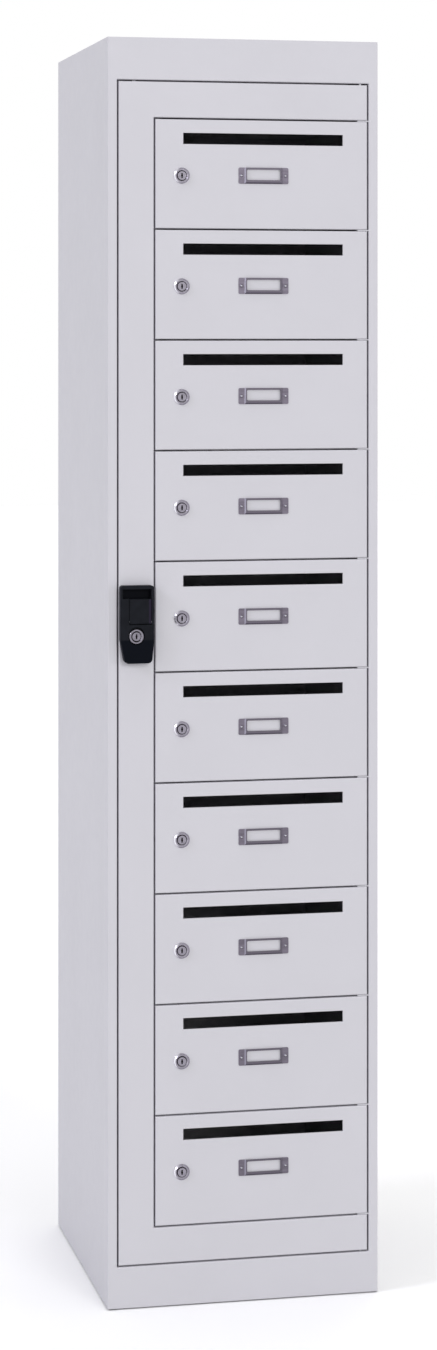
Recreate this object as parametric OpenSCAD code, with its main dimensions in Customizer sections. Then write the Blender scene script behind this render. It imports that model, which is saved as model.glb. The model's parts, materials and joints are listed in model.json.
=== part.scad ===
// Mail locker: a steel cabinet with one master door and a column of lockable letter compartments.
// The small doors and the master door turn on one common line of pivot pins at the right.
// Lengths are millimetres. X runs to the right, Y to the back, Z up; the origin is on the floor,
// at the middle of the overall box.

/* [Cabinet] */
// Outside width
cabinet_w = 395; // [370:1:480]
// Outside depth, without the handle
cabinet_d = 430; // [300:1:600]
// Outside height
cabinet_h = 1800; // [1600:1:2000]
// Thickness of every folded sheet
sheet = 1; // [0.8:0.1:1.4]
// Outside radius of the folds that show
fold_r = 1.5; // [1.4:0.1:2]
// Width of the uprights beside the doors
upright_w = 13.5; // [12:0.5:20]
// Height of the frame above the doors
header_h = 60; // [40:1:90]
// Height of the frame below the doors, from the floor
plinth_h = 60; // [40:1:90]
// Depth of the flanges that line the door opening
return_d = 20; // [20:0.5:26]
// Width of the lip that the master door closes against
stop_lip = 8; // [5:0.5:10]
// Width of the flanges round the back and of the shelf lips
flange_w = 15; // [12:1:20]
// Width of the bottom flanges that the glides sit in
bottom_flange_w = 27; // [26:1:34]

/* [Doors] */
// Number of letter compartments
compartments = 10; // [10:1:10]
// Gap between any two door edges
door_gap = 2.4; // [2:0.1:3]
// Depth of the master door's pan
door_depth = 18; // [17.5:0.5:19]
// Depth of the small doors' pans
small_depth = 16; // [14:0.5:16]
// Width of the master door's stile, which carries the handle
stile_w = 50.5; // [50:0.5:70]
// Height of the master door's top and bottom rails
rail_h = 50.5; // [40:0.5:80]
// Width of the lips round the back of the master door
lip_w = 10; // [8:0.5:12]
// Width of the lips down the back of the small doors
small_lip_w = 8; // [6:0.5:12]
// How far the stile's lip reaches behind the small doors
rebate_w = 8; // [6:0.5:10]

/* [Pivots] */
// Distance from the doors' right edge to the pivot line
pivot_inset = 9; // [8:0.5:11]
// Distance from the doors' front face to the pivot line
pivot_depth = 7; // [6:0.5:7]
// Radius of the pivot pins
pin_r = 2; // [1.5:0.1:2.5]
// Running clearance between a pin and its hole
pin_play = 0.05; // [0.03:0.01:0.1]
// How far a pin reaches into a door
pin_reach = 5; // [4:0.5:8]
// Thickness of the pivot lugs
lug_t = 1.6; // [1:0.1:1.6]
// How far a lug reaches past the pivot line
lug_nose = 5; // [4:0.5:10]
// How far a lug reaches into the upright
lug_root = 9; // [5:0.5:10]

/* [Shelves] */
// Distance from the front face to the front edge of the shelves
shelf_front = 25; // [24:0.5:40]
// Height of the shelf lips
shelf_lip = 12; // [8:1:16]

/* [Letter slot] */
// Width of the slot
slot_w = 234; // [160:1:235]
// Height of the slot
slot_h = 16; // [10:0.5:20]
// Distance from a small door's top edge to the middle of its slot
slot_drop = 27; // [24:0.5:34]
// Height of the edges folded flat behind the slot, above and below it
slot_hem = 6; // [3:0.5:10]
// How far the slot and the label holder sit to the right of a small door's middle
slot_shift = 2; // [-3:0.5:3]

/* [Small lock] */
// Distance from a small door's left edge to its lock
lock_inset = 38; // [30:1:50]
// Distance from a small door's top edge to its lock
lock_drop = 80; // [70:0.5:90]
// Diameter of the lock's front ring
ring_d = 22.5; // [20:0.5:26]
// How far the ring stands out
ring_h = 2.8; // [2:0.1:3.6]
// Size of the bevel round the ring
ring_bevel = 1.5; // [0.5:0.1:1.9]
// Width of the dished groove between a lock's ring and its plug
dish_w = 2; // [1:0.1:2.2]
// Depth of the dished groove
dish_h = 1.6; // [1:0.1:1.8]
// Diameter of the lock's barrel
barrel_d = 16; // [15.5:0.1:18]
// Diameter of the plug that the key turns
plug_d = 12.4; // [11:0.1:13.4]
// Running clearance round a plug
plug_play = 0.05; // [0.03:0.01:0.1]
// How far the barrel stands behind the small door's pan
barrel_out = 2.3; // [2.2:0.1:3]
// Width of the cam
cam_w = 15; // [12:0.5:18]
// Thickness of the cam
cam_t = 2; // [1.5:0.1:2.5]
// How far the locked cam lies over the stile's lip
cam_bite = 6; // [4:0.5:6]

/* [Label holder] */
// Width over the fixing wings
label_w = 73; // [66:0.5:90]
// Height
label_h = 23; // [20:0.5:28]
// Width of each fixing wing
wing_w = 8.5; // [7:0.5:10]
// Width of the frame at each side of the window
window_rim = 1.5; // [1:0.5:6]
// Height of the window
window_h = 15; // [10:0.5:16]
// Height of the window's middle above the holder's middle
window_up = 1.3; // [0:0.1:2]
// Thickness of the pressed sheet
label_sheet = 0.8; // [0.6:0.1:1]
// How far the middle of the holder stands out
label_out = 2.2; // [1.8:0.1:3]
// Width of the sloping sides of the raised middle
label_slope = 2; // [1:0.1:2.2]
// Distance from a small door's top edge to the middle of the holder
label_drop = 79; // [70:0.5:90]
// Radius of the rivet heads
rivet_head_r = 2.2; // [1.8:0.1:2.6]

/* [Handle] */
// Width of the handle body
handle_w = 48; // [45:0.5:49]
// Height of the handle body
handle_h = 110; // [106:1:130]
// How far the handle stands out from the door
handle_out = 12; // [11:0.5:16]
// Height of the handle's lower end above the floor
handle_z = 914.5; // [800:0.5:1000]
// Gap between the handle and the master door's left edge
handle_edge = 0.5; // [0.5:0.5:1.5]
// Height of the sloping, narrowing foot of the handle
foot_slope_h = 33; // [28:1:36]
// How much the left side draws in at the foot
foot_taper = 5; // [2:0.5:6]
// How much the right side draws in at the foot
foot_taper_right = 2; // [1:0.5:6]
// How much lower the face is at the foot's end
foot_fall = 4; // [2:0.5:5]
// Width of the pull flap
flap_w = 31.5; // [26:0.5:34]
// Height of the pull flap
flap_h = 36; // [30:0.5:37]
// How far the flap stands out in front of the handle's face
flap_proud = 1; // [0.5:0.1:1.5]
// Thickness of the flap
flap_t = 5; // [4:0.1:5.5]
// Width of the slanted face along the flap's right edge
flap_bevel_w = 4; // [2:0.5:6]
// Depth of that slanted face
flap_bevel = 1.8; // [1:0.1:1.9]
// Clearance round the flap
flap_play = 0.5; // [0.3:0.1:0.8]
// Width of the finger recess
recess_w = 41.5; // [36:0.5:42]
// Width of the handle's rim at the right of the recess and the flap
side_rim = 3.5; // [3:0.5:5]
// Height of the handle's rim above the recess
recess_rim = 5; // [4:0.5:6]
// Height of the finger recess above the flap
recess_h = 13.5; // [11:0.5:14]
// Height of the handle's lock above the handle's lower end
key_z = 38; // [36:0.5:40]
// How far the handle's lock and the rods sit to the left of the handle's middle
key_left = 1; // [0:0.5:2]
// Diameter of the round pocket that the handle's lock sits in
pocket_d = 23.5; // [22.5:0.5:24]
// How far the pocket reaches up past the lock, under the handle's face
pocket_rise = 1.5; // [0.5:0.5:2]
// Diameter of the handle lock's front ring
key_ring_d = 21.5; // [18:0.5:22]
// How far that ring stands out of the pocket's floor
key_ring_out = 4; // [2:0.1:4.4]

/* [Locking rods] */
// Diameter of the rods
rod_d = 8; // [6:0.5:8]
// Distance from the door's front face to the middle of the rods
rod_depth = 13; // [12.5:0.1:13]
// How far the rods travel
rod_travel = 10; // [8:0.5:10]
// How far a drawn-back rod stands out of the door
rod_rest = 1.9; // [0.5:0.1:1.9]
// Clearance of the rods in their holes
rod_play = 0.1; // [0.05:0.05:0.2]

/* [Glides and fixings] */
// Height of the floor glides
glide_h = 2; // [1:0.5:4]
// Diameter of the floor glides
glide_d = 24; // [18:1:26]
// Distance from the front or back of the cabinet to a glide
glide_inset = 45; // [35:1:80]
// Diameter of the two wall fixing holes
wall_hole_d = 8; // [5:0.5:12]
// Distance between the wall fixing holes
wall_hole_pitch = 250; // [150:1:300]
// Distance from the top shelf down to the wall fixing holes
wall_hole_drop = 40; // [25:1:60]

/* [Hidden] */
$fn = 48;
paint = [0.82, 0.82, 0.845];
steel = [0.72, 0.72, 0.75];
dark_steel = [0.45, 0.43, 0.47];
black = [0.1, 0.1, 0.11];
eps = 0.01;

// Places, counted from the cabinet's front left corner on the floor.
front_y = (handle_out + flap_proud - cabinet_d) / 2;
frame_left = upright_w;
frame_right = cabinet_w - upright_w;
frame_top = cabinet_h - header_h;
door_left = frame_left + door_gap;
door_right = frame_right - door_gap;
door_bottom = plinth_h + door_gap;
door_top = frame_top - door_gap;
small_left = door_left + stile_w + door_gap;
small_w = door_right - small_left;
first_gap = door_bottom + rail_h + door_gap / 2;
last_gap = door_top - rail_h - door_gap / 2;
pitch = (last_gap - first_gap) / compartments;
small_h = pitch - door_gap;
pivot_x = door_right - pivot_inset;
back_inner = cabinet_d - 2 * sheet;
// The corner behind the pivots swings this far, so stops and shelves stay out of it.
hinge_sweep = norm([pivot_inset, door_depth - pivot_depth]) + 1;
lug_front = sheet + 0.2;
lug_back = 2 * pivot_depth + 0.6;
lug_slack = 0.1;

// Clearance between two fixed pieces that share one drawing module, such as a bolt and its nut.
seat_gap = 0.05;

// Small lock, measured back from the door's front face.
barrel_end = small_depth + barrel_out;
cam_front = barrel_end + 0.2;
cam_reach = lock_inset - rebate_w + cam_bite;
cam_tail = 8;
stud_r = 3;
nut_t = 3;
nut_af = 20;
cam_nut_af = 9;
cam_nut_t = 2.2;
plug_recess = 0.2;
keyway_w = 2;
keyway_h = 7;
keyway_r = 1.5;
keyway_depth = 8;

// Label holder.
rivet_r = 1.6;
rivet_tail_r = 2.2;
rivet_tail = 1.4;
rivet_rise = 0.9;
rivet_bevel = 0.5;
label_corner_r = 2;
window_w = label_w - 2 * (wing_w + label_slope + window_rim);
window_corner_r = 2;

// Handle.
handle_x = door_left + handle_edge + handle_w / 2;
key_x = handle_x - key_left;
flap_left = handle_w / 2 - side_rim - flap_w;
recess_base = handle_h - recess_rim - recess_h;
flap_base = recess_base - flap_play - flap_h;
flap_pivot_r = 3.5;
flap_pin_r = 1.2;
flap_pin_play = 0.05;
flap_pin_grip = 1.5;
flap_pivot_z = flap_base + flap_pivot_r;
flap_pivot_out = handle_out + flap_proud - flap_pivot_r;
flap_floor = flap_pivot_out - flap_pivot_r - flap_play;
recess_floor = 2;
finger_room = 9;
handle_corner_r = 4;
handle_foot_r = 7;
key_pocket_floor = handle_out - 4.5;
key_ring_bevel = 0.8;
key_plug_d = 12;
key_barrel_d = 16;

// Rod drive: a disc with two pins, each in a slot across one rod's arm.
drive_front = 9;
drive_t = 2;
drive_r = 11;
drive_gap = 0.4;
orbit_r = rod_travel / (2 * sin(45));
drive_pin_r = 2;
drive_pin_play = 0.35;
arm_front = drive_front + drive_t + drive_gap;
arm_t = 3;
arm_in = 1.2;
arm_web = 1.6;
arm_out = orbit_r + drive_pin_r + drive_pin_play + arm_web;
arm_end = rod_travel / 2 + drive_pin_r + drive_pin_play + arm_web;
bridge_low = arm_end + 2;
bridge_h = 7;
rod_root = bridge_low + bridge_h - 1;
guide_w = 18;
guide_h = 8;
guide_inset = 60;
rod_tip = 0.3;

glide_stud_r = 4;
glide_stud_h = 8;
glide_x = sheet + bottom_flange_w / 2;

function two(k) = str(k < 10 ? "0" : "", k);
function gap_z(k) = first_gap + k * pitch;
// Small doors are counted from the top.
function small_bottom(k) = gap_z(compartments - k) + door_gap / 2;

// Moves from the cabinet's front left corner to the part's own frame.
module placed() translate([-cabinet_w / 2, front_y, 0]) children();

// What a fold of radius r takes off a square edge that runs along Z through the origin.
module edge_off_z(length, r) {
    difference() {
        translate([-1, -1, 0]) cube([r + 1, r + 1, length]);
        translate([r, r, -1]) cylinder(r = r, h = length + 2);
    }
}

// The same for an edge along X, rounding it towards +Y and +Z.
module edge_off_x(length, r) rotate([90, 0, 90]) edge_off_z(length, r);

// A slab of an XZ outline, from depth y to depth y + t.
module slab(y, t) translate([0, y + t, 0]) rotate([90, 0, 0]) linear_extrude(t) children();

// A cylinder that runs towards the back from depth y.
module rod_y(r, y, length) translate([0, y, 0]) rotate([-90, 0, 0]) cylinder(r = r, h = length);

module rounded_rect(w, h, r) {
    translate([-w / 2 + r, -h / 2]) square([w - 2 * r, h]);
    translate([-w / 2, -h / 2 + r]) square([w, h - 2 * r]);
    for (x = [-1, 1], z = [-1, 1]) translate([x * (w / 2 - r), z * (h / 2 - r)]) circle(r);
}

// One folded side of the cabinet, drawn as the left one.
module side_sheet(lip) {
    rise = cabinet_h - glide_h;
    difference() {
        union() {
            translate([0, 0, glide_h]) cube([sheet, cabinet_d, rise]);
            translate([0, 0, glide_h]) cube([upright_w, sheet, rise]);
            translate([upright_w - sheet, 0, glide_h]) cube([sheet, return_d, rise - sheet]);
            translate([upright_w - sheet, return_d - sheet, glide_h])
                cube([sheet + lip, sheet, rise - sheet]);
            translate([0, cabinet_d - sheet, glide_h]) cube([flange_w, sheet, rise]);
            translate([0, flange_w, glide_h])
                cube([sheet + bottom_flange_w, back_inner - flange_w, sheet]);
        }
        translate([0, 0, 0]) edge_off_z(cabinet_h + 1, fold_r);
        translate([0, cabinet_d, 0]) mirror([0, 1, 0]) edge_off_z(cabinet_h + 1, fold_r);
        translate([upright_w, 0, plinth_h]) mirror([1, 0, 0])
            edge_off_z(frame_top - plinth_h, fold_r);
        for (y = [glide_inset, cabinet_d - glide_inset]) translate([glide_x, y, 0])
            cylinder(r = glide_stud_r, h = glide_h + 2 * sheet);
    }
}

module left_side() color(paint) side_sheet(stop_lip);

module right_side() color(paint) difference() {
    translate([cabinet_w, 0, 0]) mirror([1, 0, 0]) side_sheet(0);
    for (k = [0:compartments])
        translate([frame_right - 1, lug_front - lug_slack, gap_z(k) - lug_t / 2 - lug_slack])
            cube([sheet + 2, lug_back - lug_front + 2 * lug_slack, lug_t + 2 * lug_slack]);
}

module back_panel() color(paint) difference() {
    translate([sheet, back_inner, glide_h]) cube([cabinet_w - 2 * sheet, sheet, cabinet_h - glide_h]);
    for (side = [-1, 1])
        translate([cabinet_w / 2 + side * wall_hole_pitch / 2, 0, gap_z(compartments) - wall_hole_drop])
            rod_y(wall_hole_d / 2, back_inner - 1, sheet + 2);
}

// A level panel between the sides, with its edges folded down. Its top is at z.
module level_panel(y0, z) {
    depth = back_inner - y0;
    width = cabinet_w - 2 * sheet;
    translate([sheet, y0, z - sheet]) cube([width, depth, sheet]);
    for (x = [sheet, cabinet_w - 2 * sheet]) translate([x, return_d + 2, z - flange_w])
        cube([sheet, back_inner - return_d - 2, flange_w]);
    translate([sheet, back_inner - sheet, z - flange_w]) cube([width, sheet, flange_w]);
}

module top_panel() color(paint) level_panel(sheet, cabinet_h);

module base_panel() color(paint) level_panel(return_d, plinth_h);

// A rail's flange with its front edge folded up, and a lip behind the master door that stays clear of
// the swing at the pivots. Drawn for the header, with the opening's edge at z = 0.
module rail_flange() {
    stop_left = frame_left + stop_lip;
    translate([frame_left, 0, 0]) cube([frame_right - frame_left, return_d - sheet, sheet]);
    translate([stop_left, return_d - sheet, -stop_lip])
        cube([pivot_x - hinge_sweep - stop_left, sheet, stop_lip + sheet]);
}

module frame_holes(z) {
    translate([key_x, rod_depth, z - 1]) cylinder(r = rod_d / 2 + 0.5, h = sheet + 2);
    translate([pivot_x, pivot_depth, z - 1]) cylinder(r = pin_r, h = sheet + 2);
}

module header_rail() color(paint) difference() {
    union() {
        translate([frame_left, 0, frame_top]) cube([frame_right - frame_left, sheet, header_h]);
        translate([0, 0, frame_top]) rail_flange();
    }
    translate([frame_left - 1, 0, frame_top]) edge_off_x(cabinet_w, fold_r);
    frame_holes(frame_top);
}

module plinth_rail() color(paint) difference() {
    union() {
        translate([frame_left, 0, glide_h])
            cube([frame_right - frame_left, sheet, plinth_h - glide_h]);
        translate([0, 0, plinth_h]) mirror([0, 0, 1]) rail_flange();
        translate([frame_left, 0, glide_h]) cube([frame_right - frame_left, flange_w, sheet]);
    }
    translate([frame_left - 1, 0, plinth_h]) mirror([0, 0, 1]) edge_off_x(cabinet_w, fold_r);
    frame_holes(plinth_h - sheet);
}

module shelf() {
    width = cabinet_w - 2 * sheet;
    translate([sheet, shelf_front, -sheet]) cube([width, back_inner - shelf_front, sheet]);
    translate([sheet, shelf_front, -shelf_lip]) cube([width, sheet, shelf_lip]);
    translate([sheet, back_inner - sheet, -shelf_lip]) cube([width, sheet, shelf_lip]);
}

module shelves() color(paint) for (k = [0:compartments]) translate([0, 0, gap_z(k)]) shelf();

// A pivot lug is a flat plate that passes through a slot in the right upright's flange.
module hinge_lug() {
    nose_x = pivot_x - lug_nose;
    difference() {
        translate([nose_x, lug_front, -lug_t / 2])
            cube([frame_right + lug_root - nose_x, lug_back - lug_front, lug_t]);
        translate([pivot_x, pivot_depth, -lug_t]) cylinder(r = pin_r, h = 2 * lug_t);
    }
}

module hinge_lugs() color(paint) for (k = [0:compartments]) translate([0, 0, gap_z(k)]) hinge_lug();

module hinge_pins() color(steel) {
    head_t = 1.5;
    reach = sheet + door_gap + pin_reach;
    for (k = [0:compartments])
        translate([pivot_x, pivot_depth, gap_z(k) - door_gap / 2 - pin_reach])
            cylinder(r = pin_r, h = 2 * pin_reach + door_gap);
    translate([pivot_x, pivot_depth, frame_top + sheet]) {
        translate([0, 0, -reach]) cylinder(r = pin_r, h = reach);
        cylinder(r = pin_r + 1.5, h = head_t);
    }
    translate([pivot_x, pivot_depth, plinth_h - sheet]) {
        cylinder(r = pin_r, h = reach);
        translate([0, 0, -head_t]) cylinder(r = pin_r + 1.5, h = head_t);
    }
}

module foot_glides() color(black)
    for (x = [glide_x, cabinet_w - glide_x], y = [glide_inset, cabinet_d - glide_inset])
        translate([x, y, 0]) {
            cylinder(r = glide_d / 2, h = glide_h);
            cylinder(r = glide_stud_r, h = glide_h + glide_stud_h);
        }

// The master door's C outline, drawn in by inset on every edge.
module c_outline(inset) difference() {
    translate([door_left + inset, door_bottom + inset])
        square([door_right - door_left - 2 * inset, door_top - door_bottom - 2 * inset]);
    translate([door_left + stile_w - inset, door_bottom + rail_h - inset])
        square([cabinet_w, door_top - door_bottom - 2 * rail_h + 2 * inset]);
}

module master_door() color(paint) difference() {
    union() {
        difference() {
            slab(0, door_depth) c_outline(0);
            slab(sheet, door_depth) c_outline(sheet);
        }
        slab(door_depth - sheet, sheet) difference() {
            c_outline(0);
            c_outline(lip_w);
            translate([door_left + lip_w, door_bottom + lip_w])
                square([stile_w - lip_w - sheet, door_top - door_bottom - 2 * lip_w]);
        }
        // The stile's lip that the small doors close against, and their cams catch behind.
        translate([door_left + stile_w - sheet, door_depth - sheet, door_bottom + rail_h - sheet])
            cube([sheet + door_gap + rebate_w, sheet, door_top - door_bottom - 2 * rail_h + 2 * sheet]);
    }
    translate([door_left, 0, 0]) edge_off_z(cabinet_h, fold_r);
    translate([door_left + stile_w, 0, door_bottom + rail_h]) mirror([1, 0, 0])
        edge_off_z(door_top - door_bottom - 2 * rail_h, fold_r);
    for (z = [door_bottom, door_top - rail_h]) translate([door_right, 0, z]) mirror([1, 0, 0])
        edge_off_z(rail_h, fold_r);
    translate([door_left - 1, 0, door_bottom]) edge_off_x(cabinet_w, fold_r);
    translate([door_left - 1, 0, door_top]) mirror([0, 0, 1]) edge_off_x(cabinet_w, fold_r);
    translate([door_left + stile_w, 0, door_bottom + rail_h]) mirror([0, 0, 1])
        edge_off_x(cabinet_w, fold_r);
    translate([door_left + stile_w, 0, door_top - rail_h]) edge_off_x(cabinet_w, fold_r);
    for (z = [door_bottom, door_top - sheet]) translate([key_x, rod_depth, z - 1])
        cylinder(r = rod_d / 2 + rod_play, h = sheet + 2);
    for (z = [door_bottom, door_bottom + rail_h - sheet, door_top - rail_h, door_top - sheet])
        translate([pivot_x, pivot_depth, z - 1]) cylinder(r = pin_r + pin_play, h = sheet + 2);
    translate([key_x, 0, handle_z + key_z]) rod_y(key_barrel_d / 2 + seat_gap, -1, sheet + 2);
}

// Four guides behind the stile hold the two rods.
module rod_guides() color(black)
    for (z = [door_bottom + guide_inset, handle_z - guide_inset,
              handle_z + handle_h + guide_inset, door_top - guide_inset])
        translate([key_x, 0, z]) difference() {
            translate([-guide_w / 2, sheet, -guide_h / 2])
                cube([guide_w, door_depth - sheet - 0.5, guide_h]);
            translate([0, rod_depth, -guide_h]) cylinder(r = rod_d / 2 + rod_play, h = 2 * guide_h);
        }

// A locking rod, drawn as the upper one, with the arm that its drive pin lifts. Z = 0 is the key's axis.
module locking_rod(tip_z) {
    slot_half = drive_pin_r + drive_pin_play;
    lowest = -rod_travel / 2;
    difference() {
        union() {
            translate([arm_in, arm_front, lowest - slot_half - arm_web])
                cube([arm_out - arm_in, arm_t, bridge_low + bridge_h - lowest + slot_half + arm_web]);
            translate([-rod_d / 2, arm_front, bridge_low]) cube([arm_out + rod_d / 2, arm_t, bridge_h]);
        }
        translate([orbit_r * cos(45) - slot_half, arm_front - 1, lowest - slot_half])
            cube([orbit_r * (1 - cos(45)) + 2 * slot_half, arm_t + 2, 2 * slot_half]);
    }
    translate([0, rod_depth, rod_root]) cylinder(r = rod_d / 2, h = tip_z - rod_root - rod_tip);
    translate([0, rod_depth, tip_z - rod_tip])
        cylinder(r1 = rod_d / 2, r2 = rod_d / 2 - rod_tip, h = rod_tip);
}

module upper_rod() color(steel) translate([key_x, 0, handle_z + key_z])
    locking_rod(door_top + rod_rest - handle_z - key_z);

module lower_rod() color(steel) translate([key_x, 0, handle_z + key_z]) rotate([0, 180, 0])
    locking_rod(handle_z + key_z - door_bottom + rod_rest);

// The handle's outline: square shoulders, and a foot that narrows. Z = 0 is its lower end.
module handle_outline() hull() {
    for (side = [-1, 1]) {
        taper = side < 0 ? foot_taper : foot_taper_right;
        translate([side * (handle_w / 2 - handle_corner_r), handle_h - handle_corner_r])
            circle(handle_corner_r);
        translate([side * (handle_w / 2 - 1), foot_slope_h]) circle(1);
        translate([side * (handle_w / 2 - taper - handle_foot_r), handle_foot_r])
            circle(handle_foot_r);
    }
}

module handle_body() color(black) translate([handle_x, 0, handle_z]) difference() {
    slab(-handle_out, handle_out) handle_outline();
    // The foot's sloping face.
    translate([0, -handle_out, foot_slope_h]) rotate([-atan(foot_fall / foot_slope_h), 0, 0])
        translate([-handle_w, -handle_out, -2 * foot_slope_h])
            cube([2 * handle_w, handle_out, 2 * foot_slope_h]);
    // The finger recess and the room behind the flap.
    translate([handle_w / 2 - side_rim - recess_w, -handle_out - 1, recess_base])
        cube([recess_w, handle_out + 1 - recess_floor, recess_h]);
    translate([flap_left - flap_play, -flap_floor - eps, flap_base + flap_h - finger_room])
        cube([flap_w + 2 * flap_play, flap_floor + eps - recess_floor, finger_room + 2 * flap_play]);
    // The flap's pocket.
    translate([flap_left - flap_play, -handle_out - 1, flap_base - flap_play])
        cube([flap_w + 2 * flap_play, handle_out + 1 - flap_floor, flap_h + 3 * flap_play]);
    translate([flap_left - flap_pin_grip - flap_play, -flap_pivot_out, flap_pivot_z]) rotate([0, 90, 0])
        cylinder(r = flap_pin_r, h = flap_w + 2 * flap_pin_grip + 2 * flap_play);
    // The lock's pocket and its barrel hole.
    for (rise = [0, pocket_rise]) translate([-key_left, 0, key_z + rise])
        rod_y(pocket_d / 2, -handle_out - 1, handle_out + 1 - key_pocket_floor);
    translate([-key_left, 0, key_z]) rod_y(key_barrel_d / 2 + seat_gap, -handle_out, handle_out + 1);
}

module flap_pin() color(steel)
    translate([handle_x + flap_left - flap_pin_grip - flap_play, -flap_pivot_out, handle_z + flap_pivot_z])
        rotate([0, 90, 0]) cylinder(r = flap_pin_r, h = flap_w + 2 * flap_pin_grip + 2 * flap_play);

module pull_flap() color(black) translate([handle_x + flap_left, -flap_pivot_out, handle_z + flap_pivot_z])
    difference() {
        union() {
            translate([0, -flap_pivot_r, 0]) cube([flap_w, flap_t, flap_h - flap_pivot_r]);
            rotate([0, 90, 0]) cylinder(r = flap_pivot_r, h = flap_w);
        }
        translate([-1, 0, 0]) rotate([0, 90, 0]) cylinder(r = flap_pin_r + flap_pin_play, h = flap_w + 2);
        // The flap's upper edge is rounded where a finger pulls it.
        translate([-1, -flap_pivot_r, flap_h - flap_pivot_r]) mirror([0, 0, 1])
            edge_off_x(flap_w + 2, 1.5);
        // The slanted face along its right edge.
        translate([flap_w, -flap_pivot_r, -flap_pivot_r - 1]) linear_extrude(flap_h + 2)
            polygon([[-2 * flap_bevel_w, -flap_bevel], [flap_bevel_w, 2 * flap_bevel],
                     [flap_bevel_w, -flap_bevel]]);
    }

// A keyway cut: a narrow upright slot with a round middle.
module keyway(y) {
    translate([-keyway_w / 2, y - 1, -keyway_h / 2]) cube([keyway_w, keyway_depth + 1, keyway_h]);
    rod_y(keyway_r, y - 1, keyway_depth + 1);
}

// A bevelled front ring whose back is at depth y.
module front_ring(d, h, bevel, y) {
    rod_y(d / 2, y - h + bevel, h - bevel);
    translate([0, y - h + bevel, 0]) rotate([90, 0, 0])
        cylinder(r1 = d / 2, r2 = d / 2 - bevel, h = bevel);
}

// What is dished out round a plug hole of radius r, in a ring whose front is at depth y.
module dish(r, y) translate([0, y - dish_h, 0]) rotate([-90, 0, 0])
    cylinder(r1 = r + 2 * dish_w, r2 = r, h = 2 * dish_h);

// A hexagon nut on a barrel of radius r, with its front at depth y.
module nut(r, across_flats, t, y) difference() {
    translate([0, y, 0]) rotate([-90, 0, 0]) cylinder(d = across_flats / cos(30), h = t, $fn = 6);
    rod_y(r + seat_gap, y - 1, t + 2);
}

module handle_lock_barrel() color(steel) translate([key_x, 0, handle_z + key_z]) {
    difference() {
        union() {
            front_ring(key_ring_d, key_ring_out, key_ring_bevel, -key_pocket_floor);
            rod_y(key_barrel_d / 2, -key_pocket_floor, key_pocket_floor + drive_front - drive_gap);
        }
        rod_y(key_plug_d / 2 + plug_play, -handle_out, 2 * handle_out + drive_front);
        dish(key_plug_d / 2 + plug_play, -key_pocket_floor - key_ring_out);
    }
    nut(key_barrel_d / 2, nut_af, nut_t, sheet);
}

// The plug that the key turns, and its drive disc with the two pins that move the rods.
module key_plug() color(steel) translate([key_x, 0, handle_z + key_z]) {
    face = -key_pocket_floor - key_ring_out + plug_recess;
    difference() {
        union() {
            rod_y(key_plug_d / 2, face, drive_front - seat_gap - face);
            rod_y(stud_r, 0, drive_front + drive_t);
        }
        keyway(face);
    }
    difference() {
        rod_y(drive_r, drive_front, drive_t);
        rod_y(stud_r + seat_gap, drive_front - 1, drive_t + 2);
    }
    for (a = [-45, 135]) translate([orbit_r * cos(a), 0, orbit_r * sin(a)])
        rod_y(drive_pin_r, drive_front + drive_t / 2, drive_t / 2 + drive_gap + arm_t);
}

// A small door, drawn with its lower left front corner at the origin.
module mail_door_pan() {
    lock_z = small_h - lock_drop;
    slot_z = small_h - slot_drop;
    label_z = small_h - label_drop;
    slot_x = small_w / 2 + slot_shift;
    difference() {
        union() {
            difference() {
                cube([small_w, small_depth, small_h]);
                translate([sheet, sheet, sheet])
                    cube([small_w - 2 * sheet, small_depth, small_h - 2 * sheet]);
            }
            for (x = [0, small_w - small_lip_w]) translate([x, small_depth - sheet, 0])
                cube([small_lip_w, sheet, small_h]);
            translate([slot_x - slot_w / 2, 0, slot_z - slot_h / 2 - slot_hem])
                cube([slot_w, 2 * sheet, slot_h + 2 * slot_hem]);
        }
        translate([slot_x - slot_w / 2, -1, slot_z - slot_h / 2])
            cube([slot_w, 2 * sheet + 2, slot_h]);
        edge_off_z(small_h, fold_r);
        translate([small_w, 0, 0]) mirror([1, 0, 0]) edge_off_z(small_h, fold_r);
        translate([-1, 0, 0]) edge_off_x(small_w + 2, fold_r);
        translate([-1, 0, small_h]) mirror([0, 0, 1]) edge_off_x(small_w + 2, fold_r);
        for (z = [0, small_h - sheet]) translate([small_w - pivot_inset, pivot_depth, z - 1])
            cylinder(r = pin_r + pin_play, h = sheet + 2);
        translate([lock_inset, 0, lock_z]) rod_y(barrel_d / 2 + seat_gap, -1, sheet + 2);
        for (side = [-1, 1]) translate([slot_x + side * (label_w - wing_w) / 2, 0, label_z])
            rod_y(rivet_r + seat_gap, -1, sheet + 2);
    }
}

module mail_door(k) color(paint) translate([small_left, 0, small_bottom(k)]) mail_door_pan();

// Moves to the middle of a small door's lock, at the door's front face.
module at_lock(k)
    translate([small_left + lock_inset, 0, small_bottom(k) + small_h - lock_drop]) children();

// The lock's barrel, and the nut that clamps it to the door.
module lock_barrel(k) color(steel) at_lock(k) {
    difference() {
        union() {
            front_ring(ring_d, ring_h, ring_bevel, 0);
            rod_y(barrel_d / 2, 0, barrel_end);
        }
        rod_y(plug_d / 2 + plug_play, -ring_h - 1, barrel_end + ring_h + 2);
        dish(plug_d / 2 + plug_play, -ring_h);
    }
    nut(barrel_d / 2, nut_af, nut_t, sheet);
}

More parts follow.
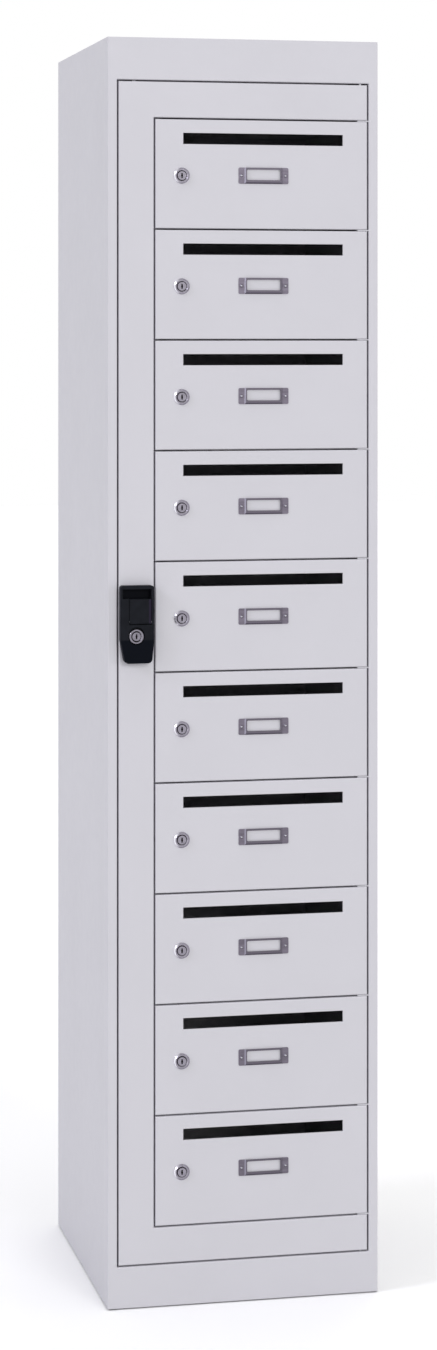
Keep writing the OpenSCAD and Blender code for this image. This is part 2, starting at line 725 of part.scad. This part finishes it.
// The plug, its cam and the cam's nut. The cam hangs down when the lock is open, and points at the
// stile when it is locked.
module lock_cam(k) color(steel) at_lock(k) {
    face = plug_recess - ring_h;
    cam_back = cam_front + cam_t;
    difference() {
        union() {
            rod_y(plug_d / 2, face, cam_front - seat_gap - face);
            rod_y(stud_r, 0, cam_back + seat_gap + cam_nut_t);
        }
        keyway(face);
    }
    difference() {
        translate([-cam_w / 2, cam_front, -cam_reach]) cube([cam_w, cam_t, cam_reach + cam_tail]);
        rod_y(stud_r + seat_gap, cam_front - 1, cam_t + 2);
    }
    nut(stud_r, cam_nut_af, cam_nut_t, cam_back + seat_gap);
}

// The raised middle of a label holder, with sloping sides, drawn from depth y to the given depth back.
module label_tray(y, back, top) intersection() {
    half = label_w / 2 - wing_w;
    low = -label_h / 2;
    fore = y - label_out + label_sheet;
    translate([0, 0, low - 1]) linear_extrude(label_h + 3)
        polygon([[-half, back], [-half, y], [label_slope - half, fore],
                 [half - label_slope, fore], [half, y], [half, back]]);
    rotate([90, 0, 90]) translate([0, 0, -half - 1]) linear_extrude(2 * half + 2)
        polygon([[back, low], [y, low], [fore, low + label_slope], [fore, top], [back, top]]);
}

// The label holder: two riveted wings and a raised middle with a window, open along its top.
module label_holder(k) color(dark_steel)
    translate([small_left + small_w / 2 + slot_shift, 0, small_bottom(k) + small_h - label_drop]) {
        difference() {
            intersection() {
                union() {
                    translate([-label_w / 2, -label_sheet, -label_h / 2])
                        cube([label_w, label_sheet, label_h]);
                    label_tray(-label_sheet, 0, label_h / 2);
                }
                slab(-label_out, label_out) rounded_rect(label_w, label_h, label_corner_r);
            }
            label_tray(0, 1, label_h / 2 + 1);
            translate([0, 0, window_up]) slab(-label_out - 1, label_out + 2)
                rounded_rect(window_w, window_h, window_corner_r);
            for (side = [-1, 1]) translate([side * (label_w - wing_w) / 2, 0, 0])
                rod_y(rivet_r + seat_gap, -label_out - 1, label_out + 2);
        }
        for (side = [-1, 1]) translate([side * (label_w - wing_w) / 2, 0, 0]) {
            rod_y(rivet_r, -label_sheet - seat_gap, label_sheet + seat_gap + sheet + rivet_tail);
            rod_y(rivet_tail_r, sheet, rivet_tail);
            front_ring(2 * rivet_head_r, rivet_rise, rivet_bevel, -label_sheet - seat_gap);
        }
    }

placed() left_side();
placed() right_side();
placed() back_panel();
placed() top_panel();
placed() base_panel();
placed() header_rail();
placed() plinth_rail();
placed() shelves();
placed() hinge_lugs();
placed() hinge_pins();
placed() foot_glides();
placed() master_door();
placed() rod_guides();
placed() handle_body();
placed() handle_lock_barrel();
placed() flap_pin();
placed() pull_flap();
placed() key_plug();
placed() upper_rod();
placed() lower_rod();
for (k = [1:compartments]) {
    placed() mail_door(k);
    placed() lock_barrel(k);
    placed() lock_cam(k);
    placed() label_holder(k);
}
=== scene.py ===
# Looks of the mail locker: finishes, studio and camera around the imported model.
import json
import math

import bmesh
import bpy
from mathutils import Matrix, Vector


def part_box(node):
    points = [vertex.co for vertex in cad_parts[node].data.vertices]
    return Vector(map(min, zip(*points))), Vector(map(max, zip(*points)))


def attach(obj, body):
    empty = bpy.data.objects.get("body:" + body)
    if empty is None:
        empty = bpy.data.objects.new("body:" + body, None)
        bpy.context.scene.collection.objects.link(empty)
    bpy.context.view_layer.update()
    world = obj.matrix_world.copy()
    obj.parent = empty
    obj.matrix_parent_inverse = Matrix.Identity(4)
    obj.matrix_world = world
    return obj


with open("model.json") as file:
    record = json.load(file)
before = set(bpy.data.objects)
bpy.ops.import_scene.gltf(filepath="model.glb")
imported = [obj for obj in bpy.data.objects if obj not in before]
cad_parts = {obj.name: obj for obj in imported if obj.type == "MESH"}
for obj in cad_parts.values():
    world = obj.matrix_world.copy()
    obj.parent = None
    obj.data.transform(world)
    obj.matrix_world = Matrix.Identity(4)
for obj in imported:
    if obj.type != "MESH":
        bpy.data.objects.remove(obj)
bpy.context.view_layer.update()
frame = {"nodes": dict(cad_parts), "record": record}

# Lengths are metres, unless their names say otherwise.

# Camera, from a perspective fit to the photograph.
IMAGE_HEIGHT_PX = 1350
FOCAL_PX = 3086
HORIZON_PX = 334.6
CAMERA_YAW = math.radians(12.33)
CAMERA_PLACE = (-0.9754, -4.5004, 1.379)
SENSOR_HEIGHT_MM = 24
VIEW_END = 100

# Colours are linear, and written as they render under the plain studio light.
PAINT = (0.652, 0.645, 0.682)
ZINC = (0.55, 0.55, 0.58)
NICKEL = (0.3, 0.282, 0.33)
# Painted highlight on the left of the locks' front rings.
NICKEL_HIGHLIGHT = (0.85, 0.84, 0.9)
# Painted shade: dark in the keyways, with some grime, and on the turned edges of the ring in the
# handle's pocket.
PAINTED_SHADE_DARK = (0.012, 0.01, 0.012)
LABEL_METAL = (0.147, 0.131, 0.165)
# Painted highlight on the label frame's left slope.
LABEL_HIGHLIGHT = (0.26, 0.246, 0.306)
# Painted shade on the label frame's lower, downward-facing slope.
LABEL_UNDER_SHADE = (0.07, 0.06, 0.085)
BLACK_PLASTIC = (0.011, 0.0121, 0.0156)
# Painted shade in the handle's recess.
RECESS_SHADE_PLASTIC = (0.0015, 0.002, 0.0042)
# Painted shade on the handle's downward-sloping foot.
FOOT_SHADE_PLASTIC = (0.0022, 0.0032, 0.0064)
# Painted sheen on the handle's left flank.
FLANK_SHEEN_PLASTIC = (0.015, 0.0155, 0.022)
# Painted highlight on the slanted face along the flap's right edge.
FLAP_HIGHLIGHT = (0.021, 0.0172, 0.032)
GLIDE_PLASTIC = (0.03, 0.03, 0.03)

# Shares of a colour's brightness.
# Painted shade: the nickel of the lock sunk in the handle's pocket is darker.
SUNK_NICKEL_SHADE = 0.8
LABEL_FRAME = 0.77
RIVET_ZINC = 0.8

PAINT_ROUGHNESS = 0.5
BLACK_ROUGHNESS = 0.42
GLIDE_ROUGHNESS = 0.5
FLOOR_ROUGHNESS = 0.9
PLASTIC_SHINE = 0.045

# Noise mostly stays between these two values, which are spread over a finish's whole range.
NOISE_SPAN = (0.3, 0.7)
# Grain that is drawn out along the rods and pins, and along the label holders.
UPRIGHT_GRAIN = (1, 1, 0.05)
LEVEL_GRAIN = (0.2, 1, 1)

# Parts of the surface's own direction at which a tint starts and is full.
RING_LEFT = (-0.2, -0.65)
RING_UP = (0.3, 0.6)
RING_DOWN = (-0.4, -0.65)
SLOPE_LEFT = (-0.2, -0.5)
SLOPE_DOWN = (-0.1, -0.6)
FLANK_LEFT = (-0.5, -0.9)
FLAP_RIGHT = (0.15, 0.35)

# Places at which a tint starts and is full, each from the edge that its function names.
RING_MIDDLE = (0, -0.003)
KEYWAY_MOUTH = (0.00005, 0.0003)
KEYWAY_END = (0.009, 0.008)
FRAME_FRONT = (-0.0002, -0.0011)
RECESS_MOUTH = (0.006, 0.009)
FOOT_TOP = (0.0005, -0.0005)

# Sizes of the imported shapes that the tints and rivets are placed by.
FOOT_HEIGHT = 0.033
WING_SHEET = 0.0008
WING_WIDTH = 0.0085
RIVET_FRONT = 0.00175
DOORS = 10

# Bright cores of the blind rivets: pairs of radius and height towards the front.
CORE_PROFILE = [(0.0, 0.0005), (0.00055, 0.00046), (0.00095, 0.00032),
                (0.0012, 0.00012), (0.0013, -0.0001)]
CORE_SEGMENTS = 20
SAME_POINT = 1e-7

# Studio. The world and floor are grey as light and white where they are seen.
FLOOR_SIZE = 40
FLOOR_BOUNCE = 0.64
AMBIENT = 0.36
WHITE = 1.0
SUN_DISTANCE = 3


def set_camera():
    data = bpy.data.cameras.new("photo_camera")
    data.sensor_fit = "VERTICAL"
    data.sensor_height = SENSOR_HEIGHT_MM
    data.lens = FOCAL_PX * SENSOR_HEIGHT_MM / IMAGE_HEIGHT_PX
    data.shift_y = (HORIZON_PX - IMAGE_HEIGHT_PX / 2) / IMAGE_HEIGHT_PX
    data.clip_end = VIEW_END
    camera = bpy.data.objects.new("photo_camera", data)
    camera.location = CAMERA_PLACE
    camera.rotation_euler = (math.pi / 2, 0, -CAMERA_YAW)
    bpy.context.scene.collection.objects.link(camera)
    bpy.context.scene.camera = camera


def map_range(tree, value, start=(0, 1), result=(0, 1)):
    """Carries a value from the span start to the span result, and holds it at the ends."""
    node = tree.nodes.new("ShaderNodeMapRange")
    node.inputs["From Min"].default_value = start[0]
    node.inputs["From Max"].default_value = start[1]
    node.inputs["To Min"].default_value = result[0]
    node.inputs["To Max"].default_value = result[1]
    tree.links.new(value, node.inputs["Value"])
    return node.outputs["Result"]


def combine(tree, operation, one, other):
    node = tree.nodes.new("ShaderNodeMath")
    node.operation = operation
    tree.links.new(one, node.inputs[0])
    tree.links.new(other, node.inputs[1])
    return node.outputs[0]


class Finish:
    """A material whose colour, roughness and bump come from noise in the object's coordinates."""

    def __init__(self, name, roughness, metallic=0.0):
        self.material = bpy.data.materials.new(name)
        self.material.use_nodes = True
        self.tree = self.material.node_tree
        self.shader = self.tree.nodes["Principled BSDF"]
        self.shader.inputs["Metallic"].default_value = metallic
        self.shader.inputs["Roughness"].default_value = roughness
        coordinates = self.tree.nodes.new("ShaderNodeTexCoord")
        self.place = coordinates.outputs["Object"]
        self.facing = coordinates.outputs["Normal"]

    def link(self, output, target):
        self.tree.links.new(output, target)

    def noise(self, per_metre, detail=3.0, stretch=(1, 1, 1)):
        mapping = self.tree.nodes.new("ShaderNodeMapping")
        mapping.inputs["Scale"].default_value = stretch
        self.link(self.place, mapping.inputs["Vector"])
        noise = self.tree.nodes.new("ShaderNodeTexNoise")
        noise.inputs["Scale"].default_value = per_metre
        noise.inputs["Detail"].default_value = detail
        self.link(mapping.outputs["Vector"], noise.inputs["Vector"])
        return noise.outputs["Fac"]

    def colour(self, fac, low, high):
        ramp = self.tree.nodes.new("ShaderNodeValToRGB")
        for element, position, colour in zip(ramp.color_ramp.elements, NOISE_SPAN, (low, high)):
            element.position = position
            element.color = (*colour, 1)
        self.link(fac, ramp.inputs["Fac"])
        self.link(ramp.outputs["Color"], self.shader.inputs["Base Color"])

    def tint(self, mask, colour):
        """Turns the colour made so far towards another one, by a mask from 0 to 1."""
        mix = self.tree.nodes.new("ShaderNodeMix")
        mix.data_type = "RGBA"
        self.link(mask, mix.inputs["Factor"])
        self.link(self.shader.inputs["Base Color"].links[0].from_socket, mix.inputs["A"])
        mix.inputs["B"].default_value = (*colour, 1)
        self.link(mix.outputs["Result"], self.shader.inputs["Base Color"])

    def mask(self, vector, axis, span, edge=0.0):
        """0 where one part of a vector is at the span's start past edge, and 1 at its end."""
        split = self.tree.nodes.new("ShaderNodeSeparateXYZ")
        self.link(vector, split.inputs[0])
        return map_range(self.tree, split.outputs[axis], (edge + span[0], edge + span[1]))

    def both(self, mask, other):
        return combine(self.tree, "MULTIPLY", mask, other)

    def gloss(self, fac, low, high):
        rough = map_range(self.tree, fac, NOISE_SPAN, (low, high))
        self.link(rough, self.shader.inputs["Roughness"])

    def bump(self, fac, height, strength=1.0):
        node = self.tree.nodes.new("ShaderNodeBump")
        node.inputs["Strength"].default_value = strength
        node.inputs["Distance"].default_value = height
        self.link(fac, node.inputs["Height"])
        previous = self.shader.inputs["Normal"].links
        if previous:
            self.link(previous[0].from_socket, node.inputs["Normal"])
        self.link(node.outputs["Normal"], self.shader.inputs["Normal"])


def shade(colour, factor):
    return tuple(channel * factor for channel in colour)


def powder_coat():
    finish = Finish("powder_coat", PAINT_ROUGHNESS)
    finish.colour(finish.noise(9, detail=4), shade(PAINT, 0.985), shade(PAINT, 1.01))
    finish.gloss(finish.noise(60, detail=2), PAINT_ROUGHNESS - 0.04, PAINT_ROUGHNESS + 0.05)
    finish.bump(finish.noise(420, detail=2), 0.00006, 0.5)
    finish.bump(finish.noise(2600, detail=1), 0.00001, 0.5)
    return finish.material


def zinc_plate(name, level=1.0):
    finish = Finish(name, 0.35, metallic=0.8)
    finish.colour(finish.noise(120), shade(ZINC, 0.88 * level), shade(ZINC, 1.08 * level))
    finish.gloss(finish.noise(900, stretch=UPRIGHT_GRAIN), 0.28, 0.42)
    finish.bump(finish.noise(2500, stretch=UPRIGHT_GRAIN), 0.00001)
    return finish.material


def nickel(name, level):
    finish = Finish(name, 0.2, metallic=0.85)
    finish.colour(finish.noise(300), shade(NICKEL, 0.85 * level), shade(NICKEL, 1.12 * level))
    finish.gloss(finish.noise(1500), 0.15, 0.26)
    finish.bump(finish.noise(3500), 0.000008)
    return finish


def highlit_ring_nickel(name, node, level=1.0):
    """Nickel with a painted highlight: brighter where the left half of a lock's front ring faces
    left.
    """
    finish = nickel(name, level)
    low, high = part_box(node)
    middle = (low[0] + high[0]) / 2
    # Painted highlight: the left-facing left half of the ring turns lighter.
    left = finish.both(finish.mask(finish.facing, "X", RING_LEFT),
                       finish.mask(finish.place, "X", RING_MIDDLE, middle))
    finish.tint(left, shade(NICKEL_HIGHLIGHT, level))
    return finish


def sunk_ring_nickel(name, node):
    """The nickel of a ring in a black pocket, with painted shade and painted reflection of the
    pocket where its edge turns up or down.
    """
    finish = highlit_ring_nickel(name, node, SUNK_NICKEL_SHADE)
    # Painted shade and reflection of the pocket on the ring's upward and downward edges.
    finish.tint(finish.mask(finish.facing, "Z", RING_UP), PAINTED_SHADE_DARK)
    finish.tint(finish.mask(finish.facing, "Z", RING_DOWN), PAINTED_SHADE_DARK)
    return finish.material


def plug_nickel(name, face, level):
    """Nickel that is dark inside the keyway, which starts at depth face: painted shade, with some
    grime.
    """
    finish = nickel(name, level)
    # Painted shade, with some grime, deeper than the keyway's mouth.
    inside = finish.both(finish.mask(finish.place, "Y", KEYWAY_MOUTH, face),
                         finish.mask(finish.place, "Y", KEYWAY_END, face))
    finish.tint(inside, PAINTED_SHADE_DARK)
    return finish.material


def label_metal():
    """Dark plating: darker on the raised frame, with painted shade on its lower slope and a painted
    highlight on its left slope.
    """
    finish = Finish("label_metal", 0.4, metallic=0.7)
    finish.colour(finish.noise(260, stretch=LEVEL_GRAIN),
                  shade(LABEL_METAL, 0.82), shade(LABEL_METAL, 1.18))
    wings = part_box("mail_door_01")[0][1] - WING_SHEET
    finish.tint(finish.mask(finish.place, "Y", FRAME_FRONT, wings), shade(LABEL_METAL, LABEL_FRAME))
    # Painted highlight on the left-facing slope, painted shade on the downward-facing slope.
    finish.tint(finish.mask(finish.facing, "X", SLOPE_LEFT), LABEL_HIGHLIGHT)
    finish.tint(finish.mask(finish.facing, "Z", SLOPE_DOWN), LABEL_UNDER_SHADE)
    finish.gloss(finish.noise(1200), 0.34, 0.48)
    finish.bump(finish.noise(3000), 0.00001)
    return finish.material


def moulded(name, colour, roughness):
    finish = Finish(name, roughness)
    finish.shader.inputs["Specular IOR Level"].default_value = PLASTIC_SHINE
    finish.colour(finish.noise(80), shade(colour, 0.85), shade(colour, 1.2))
    finish.gloss(finish.noise(500), roughness - 0.06, roughness + 0.08)
    finish.bump(finish.noise(1800, detail=4), 0.00004)
    return finish


def handle_plastic():
    """Black plastic with painted shade in the recess and on the narrowing foot, and a painted sheen
    on the left flank.
    """
    finish = moulded("black_plastic", BLACK_PLASTIC, BLACK_ROUGHNESS)
    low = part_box("handle_body")[0]
    # Painted shade deep in the recess, on the foot, and a painted sheen on the left flank.
    finish.tint(finish.mask(finish.place, "Y", RECESS_MOUTH, low[1]), RECESS_SHADE_PLASTIC)
    finish.tint(finish.mask(finish.place, "Z", FOOT_TOP, low[2] + FOOT_HEIGHT), FOOT_SHADE_PLASTIC)
    finish.tint(finish.mask(finish.facing, "X", FLANK_LEFT), FLANK_SHEEN_PLASTIC)
    return finish.material


def flap_plastic():
    """Black plastic with a painted highlight on the slanted face along the flap's right edge."""
    finish = moulded("flap_plastic", BLACK_PLASTIC, BLACK_ROUGHNESS)
    finish.tint(finish.mask(finish.facing, "X", FLAP_RIGHT), FLAP_HIGHLIGHT)
    return finish.material


def dress_nodes():
    """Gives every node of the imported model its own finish, or that of its material slot."""
    special = {
        "pull_flap": flap_plastic(),
        "handle_lock_barrel": sunk_ring_nickel("handle_lock_nickel", "handle_lock_barrel"),
    }
    finishes = {
        "painted_steel": powder_coat(),
        "zinc_steel": zinc_plate("zinc_plate"),
        "lock_nickel": highlit_ring_nickel("lock_nickel", "lock_barrel_01").material,
        "label_metal": label_metal(),
        "black_plastic": handle_plastic(),
        "glide_plastic": moulded("glide_plastic", GLIDE_PLASTIC, GLIDE_ROUGHNESS).material,
    }
    # Plugs with their faces at one depth share a finish.
    plugs = {}
    for part in frame["record"]["subparts"]:
        name = part["node"]
        finish = special.get(name, finishes[part["material_slot"]])
        if name.startswith(("lock_cam_", "key_plug")):
            face = round(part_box(name)[0][1], 5)
            if face not in plugs:
                # The handle lock's plug takes the darker nickel of painted shade.
                level = SUNK_NICKEL_SHADE if name == "key_plug" else 1.0
                plugs[face] = plug_nickel("plug_nickel_%d" % len(plugs), face, level)
            finish = plugs[face]
        materials = frame["nodes"][name].data.materials
        materials.clear()
        materials.append(finish)


def lathe_along_y(name, profile, centre):
    """A turned form about Y: pairs of radius and height towards the front (-Y)."""
    verts, faces = [], []
    for radius, height in profile:
        for i in range(CORE_SEGMENTS):
            angle = 2 * math.pi * i / CORE_SEGMENTS
            verts.append((centre[0] + radius * math.cos(angle), centre[1] - height,
                          centre[2] + radius * math.sin(angle)))
    for ring in range(len(profile) - 1):
        for i in range(CORE_SEGMENTS):
            j = (i + 1) % CORE_SEGMENTS
            low, high = ring * CORE_SEGMENTS, (ring + 1) * CORE_SEGMENTS
            faces.append((low + i, low + j, high + j, high + i))
    mesh = bpy.data.meshes.new(name)
    mesh.from_pydata(verts, [], faces)
    merge = bmesh.new()
    merge.from_mesh(mesh)
    bmesh.ops.remove_doubles(merge, verts=merge.verts, dist=SAME_POINT)
    merge.to_mesh(mesh)
    merge.free()
    mesh.shade_smooth()
    piece = bpy.data.objects.new(name, mesh)
    bpy.context.scene.collection.objects.link(piece)
    return piece


def rivet_cores(material):
    for k in range(1, DOORS + 1):
        low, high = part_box("label_holder_%02d" % k)
        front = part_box("mail_door_%02d" % k)[0][1] - RIVET_FRONT
        middle = (low[2] + high[2]) / 2
        for side, x in (("left", low[0] + WING_WIDTH / 2), ("right", high[0] - WING_WIDTH / 2)):
            core = lathe_along_y("rivet_core_%02d_%s" % (k, side), CORE_PROFILE, (x, front, middle))
            core.data.materials.append(material)
            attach(core, "mail_%02d" % k)


def seeing_rays(tree):
    """1 on camera, glossy and transmission rays, which show the background, and 0 on the rest."""
    path = tree.nodes.new("ShaderNodeLightPath")
    seen = path.outputs["Is Camera Ray"]
    for kind in ("Is Glossy Ray", "Is Transmission Ray"):
        seen = combine(tree, "MAXIMUM", seen, path.outputs[kind])
    return seen


def white_world():
    world = bpy.data.worlds.new("studio_world")
    world.use_nodes = True
    tree = world.node_tree
    background = tree.nodes["Background"]
    background.inputs["Color"].default_value = (1, 1, 1, 1)
    strength = map_range(tree, seeing_rays(tree), result=(AMBIENT, WHITE))
    tree.links.new(strength, background.inputs["Strength"])
    bpy.context.scene.world = world


def white_floor():
    mesh = bpy.data.meshes.new("studio_floor")
    half = FLOOR_SIZE / 2
    corners = [(-half, -half, 0), (half, -half, 0), (half, half, 0), (-half, half, 0)]
    mesh.from_pydata(corners, [], [(0, 1, 2, 3)])
    plane = bpy.data.objects.new("studio_floor", mesh)
    bpy.context.scene.collection.objects.link(plane)
    finish = Finish("studio_floor", FLOOR_ROUGHNESS)
    level = map_range(finish.tree, seeing_rays(finish.tree), result=(FLOOR_BOUNCE, WHITE))
    finish.link(level, finish.shader.inputs["Base Color"])
    finish.shader.inputs["Specular IOR Level"].default_value = 0.0
    plane.data.materials.append(finish.material)


def sun(name, direction, level, softness, colour=(1, 1, 1), glare=True):
    """Even light from far away; a surface square to it renders level times its colour."""
    data = bpy.data.lights.new(name, "SUN")
    data.energy = level * math.pi
    data.angle = math.radians(softness)
    data.color = colour
    light = bpy.data.objects.new(name, data)
    light.location = Vector(direction) * SUN_DISTANCE
    light.rotation_euler = Vector(direction).to_track_quat("Z", "Y").to_euler()
    light.visible_glossy = glare
    bpy.context.scene.collection.objects.link(light)


def studio():
    bpy.context.scene.view_settings.view_transform = "Standard"
    white_world()
    white_floor()
    sun("front_key", (0.25, -1.0, 0.42), 0.285, 24)
    sun("left_fill", (-0.83, -0.24, 0.5), 0.285, 16, (0.87, 0.862, 1.0))
    sun("left_glint", (-0.84, -0.55, 0.02), 0.06, 12)
    sun("right_fill", (0.9, -0.55, 0.04), 0.16, 18, (0.93, 0.88, 1.0))
    sun("top_fill", (0, 0, 1), 0.43, 40, glare=False)
    sun("back_fill", (0.4, 1.0, 0.12), 0.36, 40, glare=False)


set_camera()
dress_nodes()
rivet_cores(zinc_plate("rivet_zinc", RIVET_ZINC))
studio()
